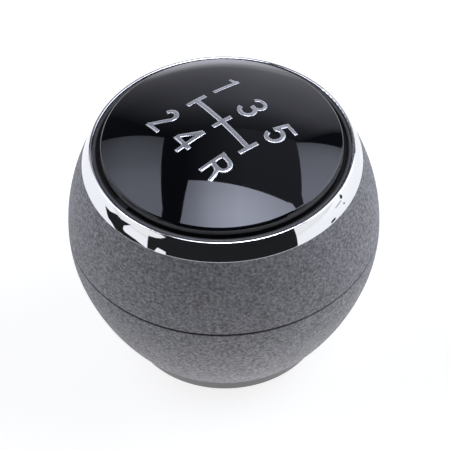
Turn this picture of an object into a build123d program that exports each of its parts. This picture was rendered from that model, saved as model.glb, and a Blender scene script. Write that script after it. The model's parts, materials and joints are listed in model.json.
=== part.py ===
from build123d import *
import os
from math import cos, radians, sin

# Gear shift knob: a ball of two shells on a moulded core, with a plated ring, a domed cap
# and a threaded insert for the lever.
# Frame: origin at the centre of the foot, +Z up the lever axis, +Y towards the odd gears.
# Millimetres and degrees.

# Outer form, heights from the foot up
collar_height = 3.7
lower_shell_height = 20.5
upper_shell_height = 14.0
ring_height = 3.2
cap_step = 1.15  # edge of the cap above the crest of the ring
dome_rise = 4.75

# Outer form, diameters and steps between them
shell_foot_diameter = 36.5
body_diameter = 52.0  # at the seam
ring_foot_diameter = 46.2
ring_width = 1.8  # across the face of the ring, from its foot to its bore
collar_step = 0.25  # from the foot of the shell in to the collar
collar_taper = 1.6  # from the top of the collar in to its foot

# Flank of the lower shell: a quick turn under the seam, then a flatter run to the foot
flank_drop = 7.2
flank_inset = 1.05

# Shells
wall = 2.4
floor_thickness = 2.6
tongue_thickness = 1.0
tongue_height = 1.5
seam_chamfer = 0.15
seam_gap = 0.2  # shadow line between the outer edges of the shells
shell_foot_round = 0.4
shell_top_round = 0.15

# Deck of the upper shell: a plateau for the screws inside a trough for the clips
deck_thickness = 2.4
trough_depth = 3.2
plateau_height = 5.0
well_clearance = 0.1

# Core and its neck
neck_diameter = 25.6
neck_lift = 0.4
core_gap = 0.3  # between the core and the shells
core_wall = 4.5  # outside the pocket, at the seam
core_floor = 8.2  # under the pocket
boss_step = 0.7  # from the boss under the plateau out to the pocket
rib_count = 8
rib_thickness = 1.8
rib_drop = 2.0
key_count = 3
key_width = 3.0
key_depth = 0.8

# Lever socket: M12 x 1.25 insert, bored to the minor diameter of the thread
thread_minor_diameter = 10.65
insert_diameter = 14.0
insert_length = 22.0
insert_recess = 4.0  # from the foot to the insert
insert_chamfer = 0.7
waist_height = 3.0
waist_depth = 0.7
knurl_count = 24
knurl_diameter = 0.8
tip_diameter = 11.6
tip_depth = 3.0
mouth_chamfer = 0.6

# Snap bead between the collar and the neck
bead_height = 1.0
bead_reach = 0.4
bead_lift = 1.4
collar_foot_round = 0.7

# Plated ring
ring_lean = 14.0  # lean of its face at the foot, from upright
crest_width = 0.42
crest_round = 0.22
ring_foot_round = 0.15
ledge_depth = 1.6  # from the crest down to the seat of the bezel
skirt_inset = 2.4  # from the foot of the face in to the skirt
skirt_thickness = 1.2
skirt_length = 2.4
ring_clip_count = 4
ring_clip_width = 5.0
ring_clip_height = 1.2
ring_clip_reach = 0.6

# Bezel round the cap
groove_width = 0.7
bezel_rim = 0.6
bezel_seat = 1.3  # width of its floor under the cap
bezel_floor = 0.6
bezel_setback = 0.1  # top of its rim below the crest of the ring
bezel_round = 0.2

# Domed cap
cap_thickness = 3.0
cap_rim = 2.0
cap_edge_round = 0.6
cap_clip_count = 4
cap_clip_width = 4.0
cap_clip_thickness = 1.0
cap_clip_flex = 0.6  # room behind a clip to bend inwards
cap_clip_root = 1.2
cap_nose_height = 1.4
cap_nose_reach = 0.8
lip_width = 2.8
lip_height = 0.5
lip_reach = 0.5

# Screws that hold the upper shell to the core
screw_count = 3
screw_inset = 3.4  # from the wall of the plateau in to the screws
screw_diameter = 2.9
screw_length = 9.5
screw_tip = 1.2
head_diameter = 5.6
head_height = 1.9
head_crown = 0.7
recess_length = 3.2
recess_width = 0.7
recess_depth = 1.0

fit = 0.1  # clearance between pieces that locate each other

# Radii
body_r = body_diameter / 2
tongue_r = body_r - wall + tongue_thickness
rebate_r = tongue_r + fit
shell_foot_r = shell_foot_diameter / 2
collar_top_r = shell_foot_r - collar_step
collar_foot_r = collar_top_r - collar_taper
neck_r = neck_diameter / 2
neck_bore_r = neck_r + fit
ring_foot_r = ring_foot_diameter / 2
ring_bore_r = ring_foot_r - ring_width
skirt_r = ring_foot_r - skirt_inset
well_r = skirt_r + well_clearance
bezel_r = ring_bore_r - fit
groove_r = bezel_r - bezel_rim
cap_r = groove_r - groove_width
bezel_bore_r = cap_r - bezel_seat
web_bore_r = bezel_bore_r - 2 * fit
cap_clip_r = web_bore_r - 2 * fit
plateau_r = cap_clip_r - cap_clip_thickness - cap_clip_flex
plateau_bore_r = plateau_r - deck_thickness
screw_circle_r = plateau_bore_r - screw_inset
boss_r = plateau_bore_r - core_gap
pocket_inner_r = boss_r + boss_step
pocket_outer_r = body_r - wall - core_gap - core_wall
insert_r = insert_diameter / 2
thread_r = thread_minor_diameter / 2
screw_r = screw_diameter / 2

# Heights
seam_z = collar_height + lower_shell_height
shell_top_z = seam_z + upper_shell_height
ring_top_z = shell_top_z + ring_height
ledge_z = ring_top_z - ledge_depth
cap_seat_z = ledge_z + bezel_floor
cap_edge_z = ring_top_z + cap_step
apex_z = cap_edge_z + dome_rise
floor_top_z = collar_height + floor_thickness
trough_top_z = shell_top_z - trough_depth
trough_bottom_z = trough_top_z - deck_thickness
plateau_top_z = trough_top_z + plateau_height
plateau_bottom_z = plateau_top_z - deck_thickness
core_shoulder_z = trough_bottom_z - core_gap
pocket_floor_z = floor_top_z + core_floor
insert_top_z = insert_recess + insert_length
skirt_bottom_z = shell_top_z - skirt_length


def band(inner, outer, low, high, mode=Mode.ADD):
    """Rectangle of a half section, between two radii and two heights."""
    with Locations(((inner + outer) / 2, (low + high) / 2)):
        Rectangle(outer - inner, high - low, mode=mode)


def hoops(piece):
    """Full circles round the axis, without the arcs of a profile."""
    return piece.edges().filter_by(GeomType.CIRCLE).filter_by(lambda edge: edge.is_closed)


def ball_face(inset, low, high):
    """Half section of the ball, drawn in by inset, between two heights."""
    seam_r = body_r - inset
    seam = (seam_r, seam_z)
    flank_end = (seam_r - flank_inset, seam_z - flank_drop)
    with BuildSketch(mode=Mode.PRIVATE) as face:
        with BuildLine():
            shoulder = TangentArc(seam, (ring_foot_r - inset, shell_top_z), tangent=(0, 1))
            flank = TangentArc(seam, flank_end, tangent=(0, -1))
            foot = TangentArc(flank @ 1, (shell_foot_r - inset, collar_height), tangent=flank % 1)
            Polyline(foot @ 1, (0, collar_height), (0, shell_top_z), shoulder @ 1)
        make_face()
        band(0, body_diameter, low, high, Mode.INTERSECT)
    return face.sketch_local


def dome_face(drop, radius):
    """Half section under the dome, lowered by drop, from the axis to a radius and above the seat."""
    with BuildSketch(mode=Mode.PRIVATE) as face:
        with BuildLine():
            dome = TangentArc((0, apex_z - drop), (cap_r, cap_edge_z - drop), tangent=(1, 0))
            Polyline(dome @ 1, (cap_r, cap_seat_z - drop), (0, cap_seat_z - drop), dome @ 0)
        make_face()
        band(0, radius, cap_seat_z, apex_z, Mode.INTERSECT)
    return face.sketch_local


# Smooth collar at the foot, snapped on the neck from below
with BuildPart() as neck_collar:
    with BuildSketch(Plane.XZ):
        with BuildLine():
            Polyline(
                (neck_bore_r, 0),
                (collar_foot_r, 0),
                (collar_top_r, collar_height),
                (neck_bore_r, collar_height),
                close=True,
            )
        make_face()
        band(neck_bore_r - bead_reach, neck_bore_r, bead_lift, bead_lift + bead_height)
    revolve(axis=Axis.Z)
    foot_edges = hoops(neck_collar).group_by(Axis.Z)[0]
    fillet(foot_edges.sort_by(SortBy.RADIUS)[-1], collar_foot_round)

# Lower shell: floor with keys for the neck, and a tongue at the seam
with BuildPart() as lower_shell:
    with BuildSketch(Plane.XZ):
        add(ball_face(0, collar_height, seam_z))
        add(ball_face(wall, floor_top_z, seam_z), mode=Mode.SUBTRACT)
        band(0, neck_bore_r, collar_height, floor_top_z, Mode.SUBTRACT)
        band(body_r - wall, tongue_r, seam_z, seam_z + tongue_height)
    revolve(axis=Axis.Z)
    rims = hoops(lower_shell)
    chamfer(rims.sort_by(SortBy.RADIUS)[-1], seam_chamfer)
    foot_edges = hoops(lower_shell).group_by(Axis.Z)[0]
    fillet(foot_edges.sort_by(SortBy.RADIUS)[-1], shell_foot_round)
    with BuildSketch(Plane.XY.offset(collar_height)):
        with PolarLocations(neck_bore_r, key_count, start_angle=90):
            Rectangle(2 * (key_depth - fit), key_width - 2 * fit)
    extrude(amount=floor_thickness)

# Upper shell: deck with a raised plateau, pockets for the ring's clips, rebate for the tongue
clip_low_z = skirt_bottom_z
clip_high_z = skirt_bottom_z + ring_clip_height
with BuildPart() as upper_shell:
    with BuildSketch(Plane.XZ):
        add(ball_face(0, seam_z + seam_gap, shell_top_z))
        add(ball_face(wall, seam_z, trough_bottom_z), mode=Mode.SUBTRACT)
        band(0, well_r, trough_top_z, shell_top_z, Mode.SUBTRACT)
        band(0, plateau_r, trough_bottom_z, plateau_top_z)
        band(0, plateau_bore_r, trough_bottom_z, plateau_bottom_z, Mode.SUBTRACT)
        band(body_r - 2 * wall, rebate_r, seam_z, seam_z + tongue_height, Mode.SUBTRACT)
    revolve(axis=Axis.Z)
    rims = hoops(upper_shell)
    chamfer(rims.sort_by(SortBy.RADIUS)[-1], seam_chamfer)
    top_edges = hoops(upper_shell).filter_by_position(Axis.Z, shell_top_z - fit, shell_top_z + fit)
    fillet(top_edges.sort_by(SortBy.RADIUS)[-1], shell_top_round)
    with BuildSketch(Plane.XY.offset(clip_low_z - fit)):
        with PolarLocations(well_r, ring_clip_count):
            Rectangle(2 * (ring_clip_reach + fit), ring_clip_width + 2 * fit)
    extrude(amount=ring_clip_height + 2 * fit, mode=Mode.SUBTRACT)
    with Locations((0, 0, plateau_top_z)):
        with PolarLocations(screw_circle_r, screw_count, start_angle=90):
            Hole(screw_r + fit)

# Core: hub with the lever socket, cored out from above and stiffened by ribs
with BuildPart() as core:
    with BuildSketch(Plane.XZ):
        add(ball_face(wall + core_gap, floor_top_z, core_shoulder_z))
        band(pocket_inner_r, pocket_outer_r, pocket_floor_z, core_shoulder_z, Mode.SUBTRACT)
        band(0, boss_r, core_shoulder_z, plateau_bottom_z)
        band(0, neck_r, neck_lift, floor_top_z)
        band(neck_r - bead_reach, neck_r, bead_lift - fit, bead_lift + bead_height + fit, Mode.SUBTRACT)
        band(0, insert_r, neck_lift, insert_top_z, Mode.SUBTRACT)
        band(0, tip_diameter / 2, insert_top_z, insert_top_z + tip_depth, Mode.SUBTRACT)
    revolve(axis=Axis.Z)
    mouth_edges = hoops(core).group_by(Axis.Z)[0]
    chamfer(mouth_edges.sort_by(SortBy.RADIUS)[0], mouth_chamfer)
    with BuildSketch(Plane.XY.offset(pocket_floor_z)):
        with PolarLocations((pocket_inner_r + pocket_outer_r) / 2, rib_count):
            Rectangle(pocket_outer_r - pocket_inner_r + rib_thickness, rib_thickness)
    extrude(amount=core_shoulder_z - pocket_floor_z - rib_drop)
    with BuildSketch(Plane.XY.offset(neck_lift)):
        with PolarLocations(neck_r, key_count, start_angle=90):
            Rectangle(2 * key_depth, key_width)
    extrude(amount=floor_top_z - neck_lift, mode=Mode.SUBTRACT)
    with Locations((0, 0, plateau_bottom_z)):
        with PolarLocations(screw_circle_r, screw_count, start_angle=90):
            Hole(screw_r, depth=screw_length)

# Threaded insert: two knurled bands with a waist between them
with BuildPart() as threaded_insert:
    insert_middle_z = insert_recess + insert_length / 2
    with BuildSketch(Plane.XZ):
        band(thread_r, insert_r, insert_recess, insert_top_z)
    revolve(axis=Axis.Z)
    bore_edges = hoops(threaded_insert).group_by(SortBy.RADIUS)[0]
    chamfer(bore_edges, insert_chamfer)
    with Locations((0, 0, insert_middle_z)):
        with PolarLocations(insert_r, knurl_count):
            Cylinder(knurl_diameter / 2, insert_length, mode=Mode.SUBTRACT)
    with BuildSketch(Plane.XZ):
        band(insert_r - waist_depth, body_r, insert_middle_z - waist_height / 2,
             insert_middle_z + waist_height / 2)
    revolve(axis=Axis.Z, mode=Mode.SUBTRACT)

# Plated ring: leaning face, web under the bezel, skirt with snap clips
with BuildPart() as ring_clip:
    with BuildSketch(Plane.XZ):
        with BuildLine():
            Polyline(
                (skirt_r - skirt_thickness / 2, clip_low_z),
                (skirt_r, clip_low_z),
                (skirt_r + ring_clip_reach, clip_high_z - ring_clip_height / 3),
                (skirt_r + ring_clip_reach, clip_high_z),
                (skirt_r - skirt_thickness / 2, clip_high_z),
                close=True,
            )
        make_face()
    extrude(amount=ring_clip_width / 2, both=True)

with BuildPart() as chrome_ring:
    with BuildSketch(Plane.XZ):
        with BuildLine():
            face = TangentArc(
                (ring_foot_r, shell_top_z),
                (ring_bore_r + crest_width, ring_top_z),
                tangent=(-sin(radians(ring_lean)), cos(radians(ring_lean))),
            )
            Polyline(
                face @ 1,
                (ring_bore_r, ring_top_z),
                (ring_bore_r, ledge_z),
                (web_bore_r, ledge_z),
                (web_bore_r, shell_top_z),
                face @ 0,
            )
        make_face()
        band(skirt_r - skirt_thickness, skirt_r, skirt_bottom_z, shell_top_z)
    revolve(axis=Axis.Z)
    crest_edges = hoops(chrome_ring).group_by(Axis.Z)[-1]
    fillet(crest_edges, crest_round)
    fillet(hoops(chrome_ring).sort_by(SortBy.RADIUS)[-1], ring_foot_round)
    with PolarLocations(0, ring_clip_count):
        add(ring_clip.part)

# Bezel: floor under the cap's rim and a rim that leaves a groove round the cap
with BuildPart() as cap_bezel:
    with BuildSketch(Plane.XZ):
        band(bezel_bore_r, bezel_r, ledge_z, cap_seat_z)
        band(groove_r, bezel_r, ledge_z, ring_top_z - bezel_setback)
    revolve(axis=Axis.Z)
    rim_edges = hoops(cap_bezel).group_by(Axis.Z)[-1]
    fillet(rim_edges, bezel_round)

# Domed cap: clips that catch under the ring's web, and a lip in the groove to prise it out
with BuildPart() as cap_clip:
    nose_z = shell_top_z - fit
    clip_bottom_z = nose_z - cap_nose_height
    with BuildSketch(Plane.XZ):
        with BuildLine():
            Polyline(
                (cap_clip_r - cap_clip_thickness, clip_bottom_z),
                (cap_clip_r, clip_bottom_z),
                (cap_clip_r + cap_nose_reach, nose_z - cap_nose_height / 3),
                (cap_clip_r + cap_nose_reach, nose_z),
                (cap_clip_r, nose_z),
                (cap_clip_r, cap_seat_z + cap_clip_root),
                (cap_clip_r - cap_clip_thickness, cap_seat_z + cap_clip_root),
                close=True,
            )
        make_face()
    extrude(amount=cap_clip_width / 2, both=True)

with BuildPart() as dome_cap:
    with BuildSketch(Plane.XZ):
        add(dome_face(0, cap_r))
        add(dome_face(cap_thickness, cap_r - cap_rim), mode=Mode.SUBTRACT)
    revolve(axis=Axis.Z)
    cap_edges = hoops(dome_cap).group_by(SortBy.RADIUS)[-1]
    fillet(cap_edges.sort_by(Axis.Z)[-1], cap_edge_round)
    with BuildSketch(Plane.XY.offset(cap_seat_z)):
        with Locations((0, -cap_r)):
            Rectangle(lip_width, 2 * lip_reach)
    extrude(amount=lip_height)
    with PolarLocations(0, cap_clip_count, start_angle=45):
        add(cap_clip.part)

# Self-tapping screws with a crowned head and a cross recess
with BuildPart() as screw:
    with BuildSketch(Plane.XZ):
        with BuildLine():
            crown = TangentArc(
                (0, head_height), (head_diameter / 2, head_height - head_crown), tangent=(1, 0)
            )
            Polyline(
                crown @ 1,
                (head_diameter / 2, 0),
                (screw_r, 0),
                (screw_r, screw_tip - screw_length),
                (0, -screw_length),
                (0, head_height),
            )
        make_face()
    revolve(axis=Axis.Z)
    with BuildSketch(Plane.XY.offset(head_height - recess_depth)):
        Rectangle(recess_length, recess_width)
        Rectangle(recess_width, recess_length)
    extrude(amount=recess_depth, mode=Mode.SUBTRACT)

with BuildPart() as shell_screws:
    with Locations((0, 0, plateau_top_z)):
        with PolarLocations(screw_circle_r, screw_count, start_angle=90):
            add(screw.part)

os.makedirs("parts", exist_ok=True)
pieces = {
    "neck_collar": neck_collar,
    "lower_shell": lower_shell,
    "upper_shell": upper_shell,
    "core": core,
    "threaded_insert": threaded_insert,
    "chrome_ring": chrome_ring,
    "cap_bezel": cap_bezel,
    "dome_cap": dome_cap,
    "shell_screws": shell_screws,
}
for name, piece in pieces.items():
    piece.part.label = name
    export_step(piece.part, f"parts/{name}.step")
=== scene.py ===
import json
from math import cos, hypot, pi, radians, sin, sqrt, tau

import bmesh
import bpy
from mathutils import Matrix, Quaternion, Vector
from mathutils.geometry import delaunay_2d_cdt


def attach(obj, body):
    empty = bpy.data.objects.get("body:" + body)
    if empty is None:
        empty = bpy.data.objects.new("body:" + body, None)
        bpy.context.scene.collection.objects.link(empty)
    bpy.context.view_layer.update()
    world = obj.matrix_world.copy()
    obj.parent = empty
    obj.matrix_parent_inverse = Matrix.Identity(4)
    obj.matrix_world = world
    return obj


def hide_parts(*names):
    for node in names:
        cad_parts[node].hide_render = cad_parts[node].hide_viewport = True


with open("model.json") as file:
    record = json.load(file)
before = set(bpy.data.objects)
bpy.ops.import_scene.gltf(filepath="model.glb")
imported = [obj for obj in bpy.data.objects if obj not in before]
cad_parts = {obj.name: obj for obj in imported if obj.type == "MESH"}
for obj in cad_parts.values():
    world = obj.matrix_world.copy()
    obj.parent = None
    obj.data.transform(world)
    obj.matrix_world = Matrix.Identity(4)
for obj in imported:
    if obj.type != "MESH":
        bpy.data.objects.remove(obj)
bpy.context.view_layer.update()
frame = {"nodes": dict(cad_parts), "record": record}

# Gear shift knob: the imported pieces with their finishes, the raised shift pattern on the cap
# and the thread of the insert. Shapes are written in millimetres and built in metres.
MM = 0.001
scene = bpy.context.scene

# Sizes of the solids that the scene's own pieces follow
SEAM_Z = 24.3
CAP_RADIUS = 19.9
CAP_EDGE_Z = 42.55
APEX_Z = 47.3
DOME_RADIUS = (CAP_RADIUS ** 2 + (APEX_Z - CAP_EDGE_Z) ** 2) / (2 * (APEX_Z - CAP_EDGE_Z))
INSERT_RADIUS = 7.0
INSERT_LOW_Z = 4.0
INSERT_HIGH_Z = 26.0
INSERT_CHAMFER = 0.7
WAIST_RADIUS = 6.3
WAIST_HEIGHT = 3.0
KNURLS = 24
KNURL_DEPTH = 0.4
THREAD_MINOR = 5.325
THREAD_MAJOR = 6.0
THREAD_PITCH = 1.25

# Heights between which a finish changes: painted shade at the collar's joint and in the bezel's groove, a
# painted reflection on the cap's wall, and the satin below the cap's edge
COLLAR_SHADE = (3.8, 4.1)
BEZEL_GROOVE = (40.95, 41.15)
CAP_WALL = (41.2, 42.22)
CAP_EDGE = (42.14, 42.22)

# Seam: half width of its line of painted shade, the side towards the brighter lamp where that painted shade
# is fainter, how far that shows across the knob, and how much fainter it gets
SEAM_SHADE_HALF_WIDTH = (0.12, 0.24)
LIT_SIDE_TURN = 54.0
LIT_SIDE_REACH = (-12, 20)
LIT_SIDE_SHARE = 0.5

# Camera, fitted to the circles of the cap, the ring and the ball
AZIMUTH = 54.0
ELEVATION = 46.0
DISTANCE = 0.491
AIM = Vector((0, 0, 0.02304))
ROLL = -1.525
LENS = 234.4
IMAGE_WIDTH = 450
SHIFT = 1 / IMAGE_WIDTH
CLIP_START = 0.01


# Nodes: each helper returns the socket that the next one reads

def wire(tree, node, inputs):
    """Gives a node's inputs plain values, or the outputs of other nodes."""
    for entry, value in inputs.items():
        if isinstance(value, bpy.types.NodeSocket):
            tree.links.new(value, node.inputs[entry])
        else:
            node.inputs[entry].default_value = value


def add(tree, kind, inputs, **settings):
    """A node with its settings and its inputs."""
    node = tree.nodes.new(kind)
    for key, value in settings.items():
        setattr(node, key, value)
    wire(tree, node, inputs)
    return node


def place(tree):
    """Object coordinates, in metres."""
    return add(tree, "ShaderNodeTexCoord", {}).outputs["Object"]


def coordinate(tree, spot, axis):
    """One coordinate of a place."""
    return add(tree, "ShaderNodeSeparateXYZ", {"Vector": spot}).outputs[axis]


def calculate(tree, operation, *values):
    """The result of one operation on plain values or sockets."""
    return add(tree, "ShaderNodeMath", dict(enumerate(values)), operation=operation).outputs["Value"]


def measure(tree, operation, spot, vector):
    """A number from a place and a vector."""
    return add(tree, "ShaderNodeVectorMath", {0: spot, 1: vector}, operation=operation).outputs["Value"]


def spread(tree, value, low, high, to_low, to_high):
    """A value brought from one range to another."""
    inputs = {"Value": value, "From Min": low, "From Max": high, "To Min": to_low, "To Max": to_high}
    return add(tree, "ShaderNodeMapRange", inputs).outputs["Result"]


def noise(tree, spot, waves, detail=3.0, roughness=0.5):
    """Noise of a number of waves per metre."""
    inputs = {"Vector": spot, "Scale": waves, "Detail": detail, "Roughness": roughness}
    return add(tree, "ShaderNodeTexNoise", inputs).outputs["Fac"]


def ramp(tree, value, stops):
    """A colour from a value, by stops of a value and a colour."""
    node = add(tree, "ShaderNodeValToRGB", {"Fac": value})
    elements = node.color_ramp.elements
    while len(elements) < len(stops):
        elements.new(0.5)
    for element, (position, color) in zip(elements, stops):
        element.position = position
        element.color = (*color, 1)
    return node.outputs["Color"]


def relief(tree, value, height, strength):
    """A normal that follows a value, with a height in millimetres."""
    inputs = {"Height": value, "Distance": height * MM, "Strength": strength}
    return add(tree, "ShaderNodeBump", inputs).outputs["Normal"]


def height_mask(tree, spot, low, high):
    """0 below one height of the knob and 1 above another."""
    return spread(tree, coordinate(tree, spot, "Z"), low * MM, high * MM, 0.0, 1.0)


def seam_shade_mask(tree, spot):
    """Painted shade: 0 in the seam between the shells and 1 away from it; fainter towards the studio's
    right, where the brighter lamp is.
    """
    over_seam = calculate(tree, "SUBTRACT", coordinate(tree, spot, "Z"), SEAM_Z * MM)
    distance = calculate(tree, "ABSOLUTE", over_seam)
    lit_side = (cos(radians(LIT_SIDE_TURN)), sin(radians(LIT_SIDE_TURN)), 0)
    across = measure(tree, "DOT_PRODUCT", spot, lit_side)
    first, last = LIT_SIDE_REACH
    lit_fade = spread(tree, across, first * MM, last * MM, 0.0, LIT_SIDE_SHARE)
    inner, outer = SEAM_SHADE_HALF_WIDTH
    return spread(tree, distance, inner * MM, outer * MM, lit_fade, 1.0)


# Materials

# The part of noise's range that it keeps to most of the time
NOISE = (0.3, 0.7)


def material(name, color, roughness, metallic=0.0, specular=0.5):
    """A principled material with plain values, its node tree and its shader."""
    made = bpy.data.materials.new(name)
    made.use_nodes = True
    tree = made.node_tree
    shader = tree.nodes["Principled BSDF"]
    wire(tree, shader, {
        "Base Color": (*color, 1),
        "Roughness": roughness,
        "Metallic": metallic,
        "Specular IOR Level": specular,
    })
    return made, tree, shader


def grained_grey():
    """Moulded grain: fine pebbles and folds, longer round the knob than up it; darker in the valleys, partly
    its own tone and partly painted shade of its relief, and darker still with painted shade at the seam and
    the collar joint.
    """
    pebble_waves = 1800
    fold_waves = 2000
    mottle_waves = 420
    flatness = 1.35
    fold_width = 0.06
    fold_share = 0.6
    mottling = 0.045
    made, tree, shader = material("grained_grey", (0.15, 0.15, 0.156), roughness=0.6, specular=0.35)
    here = place(tree)
    mapping = add(tree, "ShaderNodeMapping", {"Vector": here, "Scale": (1, 1, flatness)})
    flattened = mapping.outputs["Vector"]
    pebbles = spread(tree, noise(tree, flattened, pebble_waves, detail=2), *NOISE, 0.0, 1.0)
    off_middle = calculate(tree, "SUBTRACT", noise(tree, flattened, fold_waves, detail=2), 0.5)
    off_fold = calculate(tree, "ABSOLUTE", off_middle)
    folds = spread(tree, off_fold, 0.0, fold_width, 0.0, fold_share)
    height = calculate(tree, "ADD", pebbles, folds)
    shade = spread(tree, height, 0.0, 1.0 + fold_share, 0.0, 1.0)
    mottle = spread(tree, noise(tree, here, mottle_waves, detail=2), *NOISE, -mottling, mottling)
    mottled = calculate(tree, "ADD", shade, mottle)
    # Painted shade: dark along the seam and along the joint with the collar; the ramp's first stop is its
    # colour
    joint_shade = calculate(tree, "MULTIPLY", seam_shade_mask(tree, here), height_mask(tree, here, *COLLAR_SHADE))
    tint = ramp(tree, calculate(tree, "MULTIPLY", mottled, joint_shade), [
        (0.0, (0.038, 0.038, 0.042)),
        (0.15, (0.091, 0.091, 0.099)),
        (0.55, (0.188, 0.188, 0.205)),
        (0.95, (0.325, 0.325, 0.352)),
    ])
    wire(tree, shader, {
        "Base Color": tint,
        "Roughness": spread(tree, shade, 0.0, 1.0, 0.7, 0.5),
        "Normal": relief(tree, shade, height=0.1, strength=0.7),
    })
    return made


def smooth_grey():
    """Fine satin moulding without the grain."""
    made, tree, shader = material("smooth_grey", (0.074, 0.074, 0.078), roughness=0.42, specular=0.4)
    fine = noise(tree, place(tree), waves=2600)
    wire(tree, shader, {
        "Base Color": ramp(tree, fine, [(0.3, (0.066, 0.066, 0.069)), (0.7, (0.082, 0.082, 0.086))]),
        "Roughness": spread(tree, fine, *NOISE, 0.38, 0.46),
        "Normal": relief(tree, fine, height=0.006, strength=0.5),
    })
    return made


def plated(name, color, roughness, metallic=1.0):
    """Bright plating over a moulding, with a faint long wave and fine haze."""
    made, tree, shader = material(name, color, roughness, metallic=metallic)
    here = place(tree)
    haze = noise(tree, here, waves=700, detail=4)
    long_wave = noise(tree, here, waves=160, detail=1)
    wire(tree, shader, {
        "Roughness": spread(tree, haze, *NOISE, roughness * 0.7, roughness * 1.3),
        "Normal": relief(tree, long_wave, height=0.01, strength=0.6),
    })
    return made


def satin_black():
    """Satin black moulding, duller down in the groove and darker there with painted shade."""
    groove_roughness = 0.95
    made, tree, shader = material("satin_black", (0.05, 0.05, 0.054), roughness=0.42)
    here = place(tree)
    above = height_mask(tree, here, *BEZEL_GROOVE)
    fine = noise(tree, here, waves=3000)
    satin = spread(tree, fine, *NOISE, 0.36, 0.5)
    dull = spread(tree, above, 0, 1, groove_roughness, 0.0)
    wire(tree, shader, {
        # Near black below the groove's top: painted shade
        "Base Color": ramp(tree, above, [(0.0, (0.006, 0.006, 0.007)), (1.0, (0.062, 0.062, 0.067))]),
        "Roughness": calculate(tree, "MAXIMUM", satin, dull),
        "Normal": relief(tree, fine, height=0.008, strength=0.5),
    })
    return made


def gloss_black():
    """High gloss black with a trace of haze; the wall under the rounded edge is satin, and greyer with a
    painted reflection of the ring's crest that stops above the groove.
    """
    wall_roughness = 0.4
    wall_reflection_grey = (0.13, 0.128, 0.126)
    groove_black = (0.004, 0.004, 0.005)
    made, tree, shader = material("gloss_black", (0.002, 0.002, 0.003), roughness=0.03, specular=0.54)
    here = place(tree)
    # Grey on the wall: painted reflection of the ring's crest
    tint = ramp(tree, height_mask(tree, here, *CAP_WALL), [
        (0.0, groove_black),
        (0.15, groove_black),
        (0.27, wall_reflection_grey),
        (0.93, wall_reflection_grey),
        (1.0, (0.003, 0.0033, 0.005)),
    ])
    haze = noise(tree, here, waves=420, detail=4, roughness=0.6)
    gloss = spread(tree, haze, 0.3, 0.75, 0.015, 0.05)
    satin = spread(tree, height_mask(tree, here, *CAP_EDGE), 0, 1, wall_roughness, 0.0)
    wire(tree, shader, {
        "Base Color": tint,
        "Specular Tint": (0.9, 0.92, 1.0, 1),
        "Roughness": calculate(tree, "MAXIMUM", gloss, satin),
    })
    return made


def core_nylon():
    """Black moulded nylon with flow marks."""
    made, tree, shader = material("core_nylon", (0.02, 0.02, 0.02), roughness=0.5)
    flow = noise(tree, place(tree), waves=500, detail=4)
    wire(tree, shader, {
        "Base Color": ramp(tree, flow, [(0.3, (0.016, 0.016, 0.016)), (0.7, (0.026, 0.026, 0.027))]),
        "Roughness": spread(tree, flow, *NOISE, 0.42, 0.6),
        "Normal": relief(tree, flow, height=0.02, strength=0.4),
    })
    return made


def turned_metal(name, color, dark, roughness):
    """Turned metal: fine tool marks round the axis and some tarnish."""
    made, tree, shader = material(name, color, roughness, metallic=1.0)
    here = place(tree)
    inputs = {"Vector": here, "Scale": 2400, "Distortion": 2.0}
    marks = add(tree, "ShaderNodeTexWave", inputs, wave_type="BANDS", bands_direction="Z")
    tarnish = noise(tree, here, waves=350, detail=4)
    wire(tree, shader, {
        "Base Color": ramp(tree, tarnish, [(0.35, dark), (0.65, color)]),
        "Roughness": spread(tree, tarnish, *NOISE, roughness * 1.3, roughness * 0.8),
        "Normal": relief(tree, marks.outputs["Fac"], height=0.006, strength=0.5),
    })
    return made


BRASS = (0.62, 0.46, 0.2)
TARNISHED_BRASS = (0.42, 0.29, 0.11)
ZINC = (0.55, 0.55, 0.57)
DULL_ZINC = (0.4, 0.4, 0.4)
CHROME = (0.79, 0.80, 0.83)
SILVER = (0.55, 0.56, 0.59)
finishes = {
    "grained_grey": grained_grey(),
    "smooth_grey": smooth_grey(),
    "core_nylon": core_nylon(),
    "insert_brass": turned_metal("insert_brass", BRASS, TARNISHED_BRASS, roughness=0.28),
    "chrome": plated("chrome", CHROME, roughness=0.035),
    "satin_black": satin_black(),
    "gloss_black": gloss_black(),
    "screw_steel": turned_metal("screw_steel", ZINC, DULL_ZINC, roughness=0.32),
}
silver = plated("pattern_silver", SILVER, roughness=0.16, metallic=0.42)

for row in frame["record"]["subparts"]:
    solid = frame["nodes"][row["node"]]
    solid.data.materials.clear()
    solid.data.materials.append(finishes[row["material_slot"]])


# Meshes

SHARP_ANGLE = 35
SAME_PLACE = 1e-7


def piece(name, bm, finish, slot, *nodes):
    """An object of the knob from a bmesh, riding with it and standing for solids if any are named."""
    mesh = bpy.data.meshes.new(name)
    bm.to_mesh(mesh)
    bm.free()
    mesh.materials.append(finish)
    mesh.shade_smooth()
    mesh.set_sharp_from_angle(angle=radians(SHARP_ANGLE))
    made = bpy.data.objects.new(name, mesh)
    scene.collection.objects.link(made)
    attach(made, "root")
    if nodes:
        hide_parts(*nodes)


def turned(sections):
    """Closed mesh of half sections that stand round the axis, each an angle and its points."""
    bm = bmesh.new()
    loops = []
    for angle, points in sections:
        corners = [(r * cos(angle) * MM, r * sin(angle) * MM, z * MM) for r, z in points]
        loops.append([bm.verts.new(corner) for corner in corners])
    for loop, follow in zip(loops, loops[1:] + loops[:1]):
        for i in range(len(loop)):
            j = (i + 1) % len(loop)
            bm.faces.new((loop[i], loop[j], follow[j], follow[i]))
    bmesh.ops.remove_doubles(bm, verts=bm.verts, dist=SAME_PLACE)
    bmesh.ops.dissolve_degenerate(bm, dist=SAME_PLACE / 10, edges=bm.edges)
    bmesh.ops.recalc_face_normals(bm, faces=bm.faces)
    return bm


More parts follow.
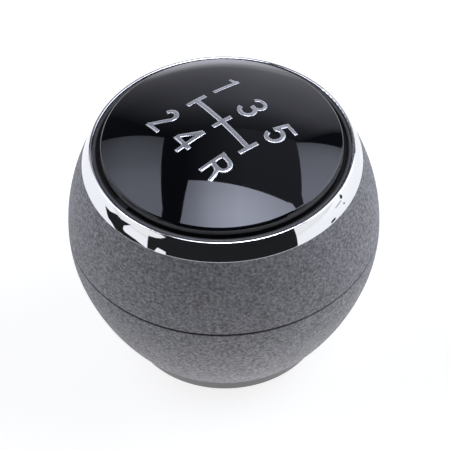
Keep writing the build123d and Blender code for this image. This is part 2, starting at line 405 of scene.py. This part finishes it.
# Threaded insert: helical thread in the bore, knurled bands and a waist outside

INSERT_COLUMNS = 96
ROWS_PER_PITCH = 10
# Shares of the pitch: half the crest, and one flank
HALF_CREST = 0.08
FLANK = 0.32


def thread_radius(angle, z):
    """Radius of the threaded bore, opened by a chamfer at each end."""
    phase = (z / THREAD_PITCH - angle / tau) % 1.0
    depth = min(max((abs(phase - 0.5) - HALF_CREST) / FLANK, 0.0), 1.0)
    bore = THREAD_MINOR + (THREAD_MAJOR - THREAD_MINOR) * depth
    nearest_end = min(z - INSERT_LOW_Z, INSERT_HIGH_Z - z)
    return max(bore, THREAD_MINOR + INSERT_CHAMFER - nearest_end)


def insert_section(column):
    """Half section of the insert at one column."""
    angle = tau * column / INSERT_COLUMNS
    rows = round((INSERT_HIGH_Z - INSERT_LOW_Z) / THREAD_PITCH * ROWS_PER_PITCH)
    points = []
    for row in range(rows + 1):
        z = INSERT_LOW_Z + (INSERT_HIGH_Z - INSERT_LOW_Z) * row / rows
        points.append((thread_radius(angle, z), z))
    knurled = column % (INSERT_COLUMNS // KNURLS) == 0
    outer = INSERT_RADIUS - KNURL_DEPTH if knurled else INSERT_RADIUS
    waist_low = (INSERT_LOW_Z + INSERT_HIGH_Z - WAIST_HEIGHT) / 2
    waist_high = waist_low + WAIST_HEIGHT
    points += [(outer, INSERT_HIGH_Z), (outer, waist_high), (WAIST_RADIUS, waist_high)]
    points += [(WAIST_RADIUS, waist_low), (outer, waist_low), (outer, INSERT_LOW_Z)]
    return angle, points


piece(
    "insert_with_thread",
    turned([insert_section(column) for column in range(INSERT_COLUMNS)]),
    finishes["insert_brass"], "insert_brass", "threaded_insert",
)

# Shift pattern: figures and gate drawn as pen strokes, bevelled and laid on the dome

PEN = 0.8
THIN_PEN = 0.64
GATE_PEN = 0.88
STEP = 0.4
EDGE_WIDTH = 0.05
EDGE_HEIGHT = 0.045
BEVEL_WIDTH = 0.15
BEVEL_HEIGHT = 0.045
SUNK = 0.12


def line(*points):
    """Points along straight runs, a step apart."""
    path = [points[0]]
    for (x0, y0), (x1, y1) in zip(points, points[1:]):
        count = max(1, round(hypot(x1 - x0, y1 - y0) / STEP))
        path += [(x0 + (x1 - x0) * i / count, y0 + (y1 - y0) * i / count) for i in range(1, count + 1)]
    return path


def bow(centre, rx, ry, first, last, count):
    """Points along an arc of an ellipse, from one angle to another."""
    turns = [radians(first + (last - first) * i / count) for i in range(count + 1)]
    return [(centre[0] + rx * cos(turn), centre[1] + ry * sin(turn)) for turn in turns]


def stroke(path, width=PEN):
    """Outline of a pen stroke along a path, with square ends."""
    left = []
    right = []
    for i, (x, y) in enumerate(path):
        x0, y0 = path[max(i - 1, 0)]
        x1, y1 = path[min(i + 1, len(path) - 1)]
        length = hypot(x1 - x0, y1 - y0)
        nx = (y0 - y1) / length * width / 2
        ny = (x1 - x0) / length * width / 2
        left.append((x + nx, y + ny))
        right.append((x - nx, y - ny))
    return right + left[::-1]


# Plan of the pattern: x to the right and y towards the odd gears, from the middle of the cap
GATE_LEFT = -6.72
GATE_MIDDLE = 0.22
GATE_RIGHT = 7.22
TICK_HALF = 1.85
ONE_X = -6.65
ONE_TOP = 8.6
FOUR_STEM_X = 0.31
FOUR_TOP = -3.6
FOUR_BAR_Y = -7.55
FOUR_LEFT = -2.3
R_STEM_X = 5.97
R_BOWL_TOP = -4.15
R_BOWL_FOOT = -6.39
R_BOWL_RADIUS = (R_BOWL_TOP - R_BOWL_FOOT) / 2
R_BOWL_X = 7.49
R_FOOT = -8.82


def tick(x):
    """Cross line of the gate."""
    return stroke(line((x, -TICK_HALF), (x, TICK_HALF)))


FIGURES = {
    "gate": [
        stroke(line((GATE_LEFT, 0), (GATE_RIGHT, 0)), GATE_PEN),
        tick(GATE_LEFT),
        tick(GATE_MIDDLE),
        tick(GATE_RIGHT),
    ],
    "one": [
        stroke(line((ONE_X, 3.48), (ONE_X, ONE_TOP)), THIN_PEN),
        [(-8.08, 7.6), (-6.7, 7.6), (-6.7, ONE_TOP), (-6.97, ONE_TOP), (-7.3, 8.22), (-8.08, 8.06)],
    ],
    "three": [
        stroke(bow((0.26, 7.35), 1.22, 1.1, 172, -100, 20), THIN_PEN),
        stroke(bow((0.26, 5.07), 1.33, 1.25, 105, -165, 22)),
    ],
    "five": [
        stroke(line((6.17, 8.6), (8.72, 8.6)), THIN_PEN),
        stroke(line((6.52, 8.92), (6.17, 5.97))),
        stroke(bow((7.27, 5.32), 1.18, 1.47, 150, -163, 24)),
    ],
    "two": [
        stroke(bow((-6.77, -5.32), 1.07, 1.08, 172, -42, 18) + line((-6.27, -6.47), (-7.87, -8.67))),
        stroke(line((-8.35, -8.8), (-5.27, -8.8)), THIN_PEN),
    ],
    "four": [
        stroke(line((FOUR_STEM_X, FOUR_TOP), (FOUR_STEM_X, -9.4))),
        stroke(line((FOUR_LEFT, FOUR_BAR_Y), (1.5, FOUR_BAR_Y))),
        [
            (-0.2, FOUR_TOP), (FOUR_STEM_X, FOUR_TOP), (FOUR_STEM_X, -4.45), (-1.5, -7.1),
            (-1.5, FOUR_BAR_Y), (FOUR_LEFT, FOUR_BAR_Y), (FOUR_LEFT, -7.05),
        ],
    ],
    "reverse": [
        stroke(line((R_STEM_X, -3.67), (R_STEM_X, R_FOOT))),
        stroke(
            line((R_STEM_X, R_BOWL_TOP), (R_BOWL_X, R_BOWL_TOP))
            + bow((R_BOWL_X, R_BOWL_TOP - R_BOWL_RADIUS), R_BOWL_RADIUS, R_BOWL_RADIUS, 84, -90, 18)
            + line((7.29, R_BOWL_FOOT), (R_STEM_X, R_BOWL_FOOT))
        ),
        stroke(line((6.99, R_BOWL_FOOT), (7.64, -6.72), (8.09, -7.47), (8.49, R_FOOT))),
    ],
}

# Settings of the triangulation: only what lies inside the outlines, and points that are closer are merged
INSIDE_ONLY = 1
MERGE_DISTANCE = 0.01


def swing(outline):
    """Twice the area of an outline, positive if it runs against the clock."""
    return sum(a[0] * b[1] - b[0] * a[1] for a, b in zip(outline, outline[1:] + outline[:1]))


def filled(outlines):
    """Flat mesh of the union of closed outlines, facing up."""
    corners = []
    rings = []
    for outline in outlines:
        if swing(outline) < 0:
            outline = outline[::-1]
        rings.append(list(range(len(corners), len(corners) + len(outline))))
        corners += [Vector(point) for point in outline]
    points, _, faces, _, _, owners = delaunay_2d_cdt(corners, [], rings, INSIDE_ONLY, MERGE_DISTANCE)
    flat = bmesh.new()
    verts = [flat.verts.new((point.x, point.y, 0)) for point in points]
    for face, owner in zip(faces, owners):
        if owner:
            flat.faces.new([verts[i] for i in face])
    bmesh.ops.delete(flat, geom=[v for v in flat.verts if not v.link_faces], context="VERTS")
    bmesh.ops.recalc_face_normals(flat, faces=flat.faces)
    if sum(face.normal.z for face in flat.faces) < 0:
        bmesh.ops.reverse_faces(flat, faces=flat.faces)
    return flat


def on_dome(x, y, height):
    """Place at a height over the dome, above a point of the plan."""
    out = Vector((x, y, sqrt(DOME_RADIUS ** 2 - x * x - y * y))) / DOME_RADIUS
    spot = out * (DOME_RADIUS + height) + Vector((0, 0, APEX_Z - DOME_RADIUS))
    return spot * MM


def raised(outlines, bm):
    """Adds one figure: its outlines joined, with a sunk base, a steep edge, a bevel and a flat top."""
    slope = EDGE_WIDTH + BEVEL_WIDTH
    top = EDGE_HEIGHT + BEVEL_HEIGHT
    flat = filled(outlines)
    base = [[(v.co.x, v.co.y) for v in face.verts] for face in flat.faces]
    bmesh.ops.inset_region(flat, faces=flat.faces, thickness=slope, use_boundary=True, use_even_offset=True)
    rim_edges = [edge for edge in flat.edges if edge.is_boundary]
    rim = {v for edge in rim_edges for v in edge.verts}
    spots = {}

    def spot(x, y, height):
        """The corner at a height over a point of the plan, shared by the faces round it."""
        key = (round(x, 4), round(y, 4), height)
        if key not in spots:
            spots[key] = bm.verts.new(on_dome(x, y, height))
        return spots[key]

    def over(v, height):
        """The corner at a height over a corner of the flat figure."""
        return spot(v.co.x, v.co.y, height)

    def edge_spot(outer, inner):
        """The corner at the top of the steep edge, on the way from the rim to the flat top."""
        middle = outer.co.lerp(inner.co, EDGE_WIDTH / slope)
        return spot(middle.x, middle.y, EDGE_HEIGHT)

    for face in flat.faces:
        loop = list(face.verts)
        if rim.isdisjoint(loop):
            bm.faces.new([over(v, top) for v in loop])
            continue
        while loop[0] not in rim or loop[1] not in rim:
            loop = loop[1:] + loop[:1]
        a, b, c, d = loop
        bm.faces.new((over(a, 0.0), over(b, 0.0), edge_spot(b, c), edge_spot(a, d)))
        bm.faces.new((edge_spot(a, d), edge_spot(b, c), over(c, top), over(d, top)))
    for edge in rim_edges:
        along = edge.link_loops[0]
        a = along.vert
        b = along.link_loop_next.vert
        bm.faces.new((over(b, 0.0), over(a, 0.0), over(a, -SUNK), over(b, -SUNK)))
    for face in base:
        bm.faces.new([spot(x, y, -SUNK) for x, y in reversed(face)])
    flat.free()


pattern = bmesh.new()
for outlines in FIGURES.values():
    raised(outlines, pattern)
piece("shift_pattern", pattern, silver, "chrome")


# Studio: x to the right of the camera, y away from it, z up, in metres

DAYLIGHT = (0.95, 0.99, 1.12)
COOL = (0.97, 0.97, 1.08)
MATT = 0.9


def studio(x, y, z):
    """A place of the studio in the knob's frame."""
    turn = radians(AZIMUTH)
    return Vector((x * cos(turn) - y * sin(turn), x * sin(turn) + y * cos(turn), z))


def softbox(name, centre, across, up, radiance):
    """A rectangular lamp that faces along across x up, with an even radiance, for matt surfaces only."""
    across = studio(*across)
    up = studio(*up)
    light = bpy.data.lights.new(name, "AREA")
    light.shape = "RECTANGLE"
    light.size = across.length
    light.size_y = up.length
    light.energy = radiance * pi * light.size * light.size_y
    light.color = DAYLIGHT
    lamp = bpy.data.objects.new(name, light)
    scene.collection.objects.link(lamp)
    x_axis = across.normalized()
    y_axis = up.normalized()
    axes = Matrix((x_axis, y_axis, x_axis.cross(y_axis))).transposed()
    lamp.matrix_world = Matrix.Translation(studio(*centre)) @ axes.to_4x4()
    lamp.visible_glossy = False


def panel(name, corners, finish):
    """A flat piece of the studio."""
    mesh = bpy.data.meshes.new(name)
    mesh.from_pydata(corners, [], [range(len(corners))])
    mesh.materials.append(finish)
    made = bpy.data.objects.new(name, mesh)
    scene.collection.objects.link(made)
    return made


def card(name, corners, finish, solid=True):
    """A panel that the camera doesn't see; one that isn't solid shows in gloss only."""
    made = panel(name, corners, finish)
    made.rotation_euler = (0, 0, radians(AZIMUTH))
    made.visible_camera = False
    made.visible_shadow = solid
    made.visible_diffuse = solid


def level(x0, y0, x1, y1, z):
    """Corners of a level panel."""
    return [(x0, y0, z), (x1, y0, z), (x1, y1, z), (x0, y1, z)]


def upright(x0, y0, x1, y1, low, high):
    """Corners of an upright panel over a line of the floor."""
    return [(x0, y0, low), (x1, y1, low), (x1, y1, high), (x0, y0, high)]


def tilted(centre, across, up):
    """Corners of a panel from its centre and its two sides."""
    centre = Vector(centre)
    across = Vector(across) / 2
    up = Vector(up) / 2
    return [centre - across - up, centre + across - up, centre + across + up, centre - across + up]


def plain(name, tone, glow):
    """A matt grey surface with a little light of its own."""
    made, tree, shader = material(name, (tone, tone, tone), MATT, specular=0.0)
    wire(tree, shader, {"Emission Color": (*DAYLIGHT, 1), "Emission Strength": glow})
    return made


def glow_along(tree, axis, stops, color):
    """A colour along one axis of the studio, from stops of a place and a share of the colour."""
    first = stops[0][0]
    last = stops[-1][0]
    position = spread(tree, coordinate(tree, place(tree), axis), first, last, 0.0, 1.0)
    colors = []
    for spot, share in stops:
        colors.append(((spot - first) / (last - first), [share * part for part in color]))
    return ramp(tree, position, colors)


def glowing(name, axis, radiance, other_axis, shares, color):
    """A dark surface with a glow: radiance along one axis of the studio and a share of it along another."""
    made, tree, shader = material(name, (0.02, 0.02, 0.02), MATT, specular=0.0)
    peak = max(value for _, value in radiance)
    brightest = max(color)
    main = glow_along(tree, axis, [(spot, value / peak) for spot, value in radiance],
                      [part / brightest for part in color])
    other = glow_along(tree, other_axis, shares, (1, 1, 1))
    inputs = {"Factor": 1.0, "A": main, "B": other}
    both = add(tree, "ShaderNodeMix", inputs, data_type="RGBA", blend_type="MULTIPLY")
    wire(tree, shader, {"Emission Color": both.outputs["Result"], "Emission Strength": peak * brightest})
    return made


# Softboxes, each a centre and two sides: one leaning at each side, and one overhead that shows in gloss only
LEFT_BOX = ((-1.0, 0.525, 0.975), (0, -1.75, 0), (0.561, 0, 1.25))
RIGHT_BOX = ((1.08, 0.4, 0.81), (0, 1.4, 0), (-0.578, 0, 1.02))
TOP_BOX = ((0.14, -0.09, 1.0), (0.86, -0.195, 0), (0.109, 0.481, 0))
LEFT_RADIANCE = 1.6
RIGHT_RADIANCE = 2.45
softbox("left_softbox", *LEFT_BOX, LEFT_RADIANCE)
softbox("right_softbox", *RIGHT_BOX, RIGHT_RADIANCE)
left_face = glowing(
    "left_face",
    "Y", [(-0.35, 2.3), (0.2, 2.5), (0.45, 2.3), (0.65, 2.0), (0.85, 1.5), (1.1, 1.15), (1.4, 0.7)],
    "Z", [(0.35, 0.5), (0.83, 0.62), (1.03, 0.9), (1.2, 1.0)],
    DAYLIGHT,
)
right_face = glowing(
    "right_face",
    "Y", [
        (-0.3, 3.2), (0.3, 3.2), (0.42, 3.0), (0.6, 2.65),
        (0.75, 2.35), (0.88, 2.05), (1.02, 1.5), (1.1, 1.1),
    ],
    "Z", [(0.3, 1.0), (1.32, 1.0)],
    DAYLIGHT,
)
top_face = glowing(
    "top_face",
    "X", [
        (-0.34, 2.6), (-0.2, 3.9), (-0.09, 5.9), (0.0, 6.9),
        (0.11, 7.8), (0.22, 7.4), (0.38, 6.4), (0.62, 5.4),
    ],
    "Y", [(-0.43, 1.0), (-0.06, 1.0), (0.05, 0.92), (0.15, 0.8), (0.25, 0.74)],
    DAYLIGHT,
)
card("left_face", tilted(*LEFT_BOX), left_face, solid=False)
card("right_face", tilted(*RIGHT_BOX), right_face, solid=False)
card("top_face", tilted(*TOP_BOX), top_face, solid=False)

# Dark room: the ceiling and the backdrop glow more towards the right
ROOM = 2.4
CEILING = 2.3
LEFT_X = -1.5
CORNER_X = -1.2
RIGHT_X = 1.6
FRONT_Y = -1.6
BACKDROP_Y = 2.0
BACKDROP_LEFT = -1.1
BACKDROP_RIGHT = 1.5
BACK_Y = BACKDROP_Y + 0.02
SIDE_FOOT = 0.4
FRONT_FOOT = 0.1
CORNER_FOOT = 0.6
BACK_FOOT = 0.3
dark = plain("dark_room", tone=0.02, glow=0.02)
black = plain("black_flag", tone=0.01, glow=0.008)
grey = plain("grey_flag", tone=0.01, glow=0.5)
backdrop = glowing(
    "backdrop",
    "X", [
        (BACKDROP_LEFT, 0.02), (-0.75, 0.37), (-0.35, 0.75), (0.0, 0.93),
        (0.3, 1.2), (1.0, 1.17), (1.35, 0.83), (BACKDROP_RIGHT, 0.2),
    ],
    "Z", [(0.0, 1.0), (0.1, 0.6), (1.1, 0.6), (1.4, 0.45), (1.7, 0.27), (2.0, 0.18), (CEILING, 0.12)],
    COOL,
)
ceiling = glowing("ceiling", "X", [(-0.6, 0.02), (0.4, 0.25)], "Z", [(0.0, 1.0), (CEILING, 1.0)], COOL)
card("ceiling", level(-ROOM, -ROOM, ROOM, ROOM, CEILING), ceiling)
card("left_wall", upright(LEFT_X, -ROOM, LEFT_X, ROOM, SIDE_FOOT, CEILING), dark)
card("right_wall", upright(RIGHT_X, -ROOM, RIGHT_X, ROOM, SIDE_FOOT, CEILING), dark)
card("front_wall", upright(CORNER_X, FRONT_Y, RIGHT_X, FRONT_Y, FRONT_FOOT, CEILING), dark)
card("front_corner", upright(LEFT_X, FRONT_Y, CORNER_X, FRONT_Y, CORNER_FOOT, CEILING), dark)
card("back_wall", upright(-ROOM, BACK_Y, ROOM, BACK_Y, BACK_FOOT, CEILING), dark)
card("backdrop", upright(BACKDROP_LEFT, BACKDROP_Y, BACKDROP_RIGHT, BACKDROP_Y, 0.0, CEILING), backdrop)

# Lit part of the table behind the knob, for the bright far edge of the dome
TABLE_HALF = 1.2
TABLE_NEAR = 0.3
TABLE_FAR = 1.2
TABLE_Z = 0.0005
table_light = glowing(
    "table_light",
    "Y", [(TABLE_NEAR, 2.1), (0.45, 1.85), (0.6, 1.6), (0.85, 1.25), (TABLE_FAR, 1.1)],
    "X", [(-TABLE_HALF, 0.5), (-0.5, 1.0), (0.5, 1.0), (TABLE_HALF, 0.5)],
    COOL,
)
table_corners = level(-TABLE_HALF, TABLE_NEAR, TABLE_HALF, TABLE_FAR, TABLE_Z)
card("table_light", table_corners, table_light, solid=False)

# Flags on a cylinder round the knob, for the dark band and dashes on the ring
FENCE_RADIUS = 0.1
FLAG_FOOT = 0.5
FLAG_TOP = 82


def fence(turn, height):
    """Place on the cylinder, at an angle from the front and a height in millimetres."""
    return FENCE_RADIUS * sin(radians(turn)), -FENCE_RADIUS * cos(radians(turn)), height * MM


# Turn, lower edge and upper edge of the front flag, with a gap at its left foot
FRONT_FLAG = [
    (-51, FLAG_FOOT, 43), (-47, FLAG_FOOT, 45.5), (-46, 15, 46), (-43.5, 24, 49), (-38, 21, 56),
    (-37, FLAG_FOOT, 60), (-35, FLAG_FOOT, FLAG_TOP),
]
FRONT_FLAG += [(turn, FLAG_FOOT, FLAG_TOP) for turn in (*range(-26, 40, 9), 48)]
for i, ((first, low, high), (last, next_low, next_high)) in enumerate(zip(FRONT_FLAG, FRONT_FLAG[1:])):
    corners = [fence(first, low), fence(last, next_low), fence(last, next_high), fence(first, high)]
    card(f"front_flag_{i}", corners, black, solid=False)

# Outlines of the smaller flags, by turn and height
DASHES = {
    "left_flag": (black, [
        (-89, 27), (-87, 20), (-84.8, 12), (-79.7, 9), (-75.8, 6), (-72, FLAG_FOOT), (-51, FLAG_FOOT),
        (-51, 14), (-60, 16.5), (-68.7, 16), (-70.5, 19), (-70, 28), (-65, 41.5), (-73.4, 36.3),
        (-77.5, 37), (-83.7, 28.6),
    ]),
    "right_flag": (black, [(88, 31.5), (89, 36), (90.3, 32), (90.2, 28), (89, 27)]),
    "right_spot": (black, [(89.9, 16.8), (91.4, 13.5), (91.6, 10.5), (90, 13)]),
    "right_streak": (grey, [(88, 28), (88.7, 24.5), (82.2, 25.3), (81.2, 27.7), (84, 28.5)]),
    "right_foot": (black, [(80.4, 10.4), (80.8, 7.4), (77, 7.8), (75.6, 9.5), (77, 11.2)]),
}
for name, (finish, outline) in DASHES.items():
    card(name, [fence(turn, height) for turn, height in outline], finish, solid=False)


def shown_rays(tree):
    """1 for camera, glossy and transmission rays, 0 for the rest."""
    path = add(tree, "ShaderNodeLightPath", {}).outputs
    direct = calculate(tree, "MAXIMUM", path["Is Camera Ray"], path["Is Glossy Ray"])
    return calculate(tree, "MAXIMUM", direct, path["Is Transmission Ray"])


# World: white to the camera and in reflections, a low fill for the rest
FILL = 0.06
world = bpy.data.worlds.new("studio_world")
scene.world = world
world.use_nodes = True
sky = world.node_tree
sky_level = spread(sky, shown_rays(sky), 0, 1, FILL, 1)
wire(sky, sky.nodes["Background"], {"Color": (1, 1, 1, 1), "Strength": sky_level})

# Floor: white, with the knob's shadow, and with more light for the knob close to its foot
FLOOR_HALF = 6.0
FLOOR_Z = -0.00002
FLOOR_WHITE = (0.85, 0.85, 0.85)
GLOW_SHARE = 0.55
SHOWN_GLOW = 1.48
FAR_GLOW = 1.3
NEAR_GLOW = 3.1
NEAR_REACH = (0.02, 0.048)
NEAR_CENTRE = studio(0.012, -0.004, 0)
white_floor, floor_tree, floor_shader = material("white_floor", FLOOR_WHITE, roughness=0.8, specular=0.2)
reach = measure(floor_tree, "DISTANCE", place(floor_tree), NEAR_CENTRE)
lighting = spread(floor_tree, reach, *NEAR_REACH, NEAR_GLOW, FAR_GLOW)
strength = spread(floor_tree, shown_rays(floor_tree), 0, 1, lighting, SHOWN_GLOW)
glow = add(floor_tree, "ShaderNodeEmission", {"Strength": strength})
surfaces = {"Fac": GLOW_SHARE, 1: floor_shader.outputs["BSDF"], 2: glow.outputs["Emission"]}
mixed = add(floor_tree, "ShaderNodeMixShader", surfaces)
wire(floor_tree, floor_tree.nodes["Material Output"], {"Surface": mixed.outputs["Shader"]})
panel("floor", level(-FLOOR_HALF, -FLOOR_HALF, FLOOR_HALF, FLOOR_HALF, FLOOR_Z), white_floor)

# Camera
turn = radians(AZIMUTH)
tilt = radians(ELEVATION)
back = Vector((sin(turn) * cos(tilt), -cos(turn) * cos(tilt), sin(tilt)))
camera = bpy.data.objects.new("camera", bpy.data.cameras.new("camera"))
scene.collection.objects.link(camera)
camera.data.lens = LENS
camera.data.shift_x = SHIFT
camera.data.clip_start = CLIP_START
camera.location = AIM + back * DISTANCE
camera.rotation_mode = "QUATERNION"
camera.rotation_quaternion = (-back).to_track_quat("-Z", "Y") @ Quaternion((0, 0, 1), radians(ROLL))
scene.camera = camera

scene.view_settings.view_transform = "Standard"
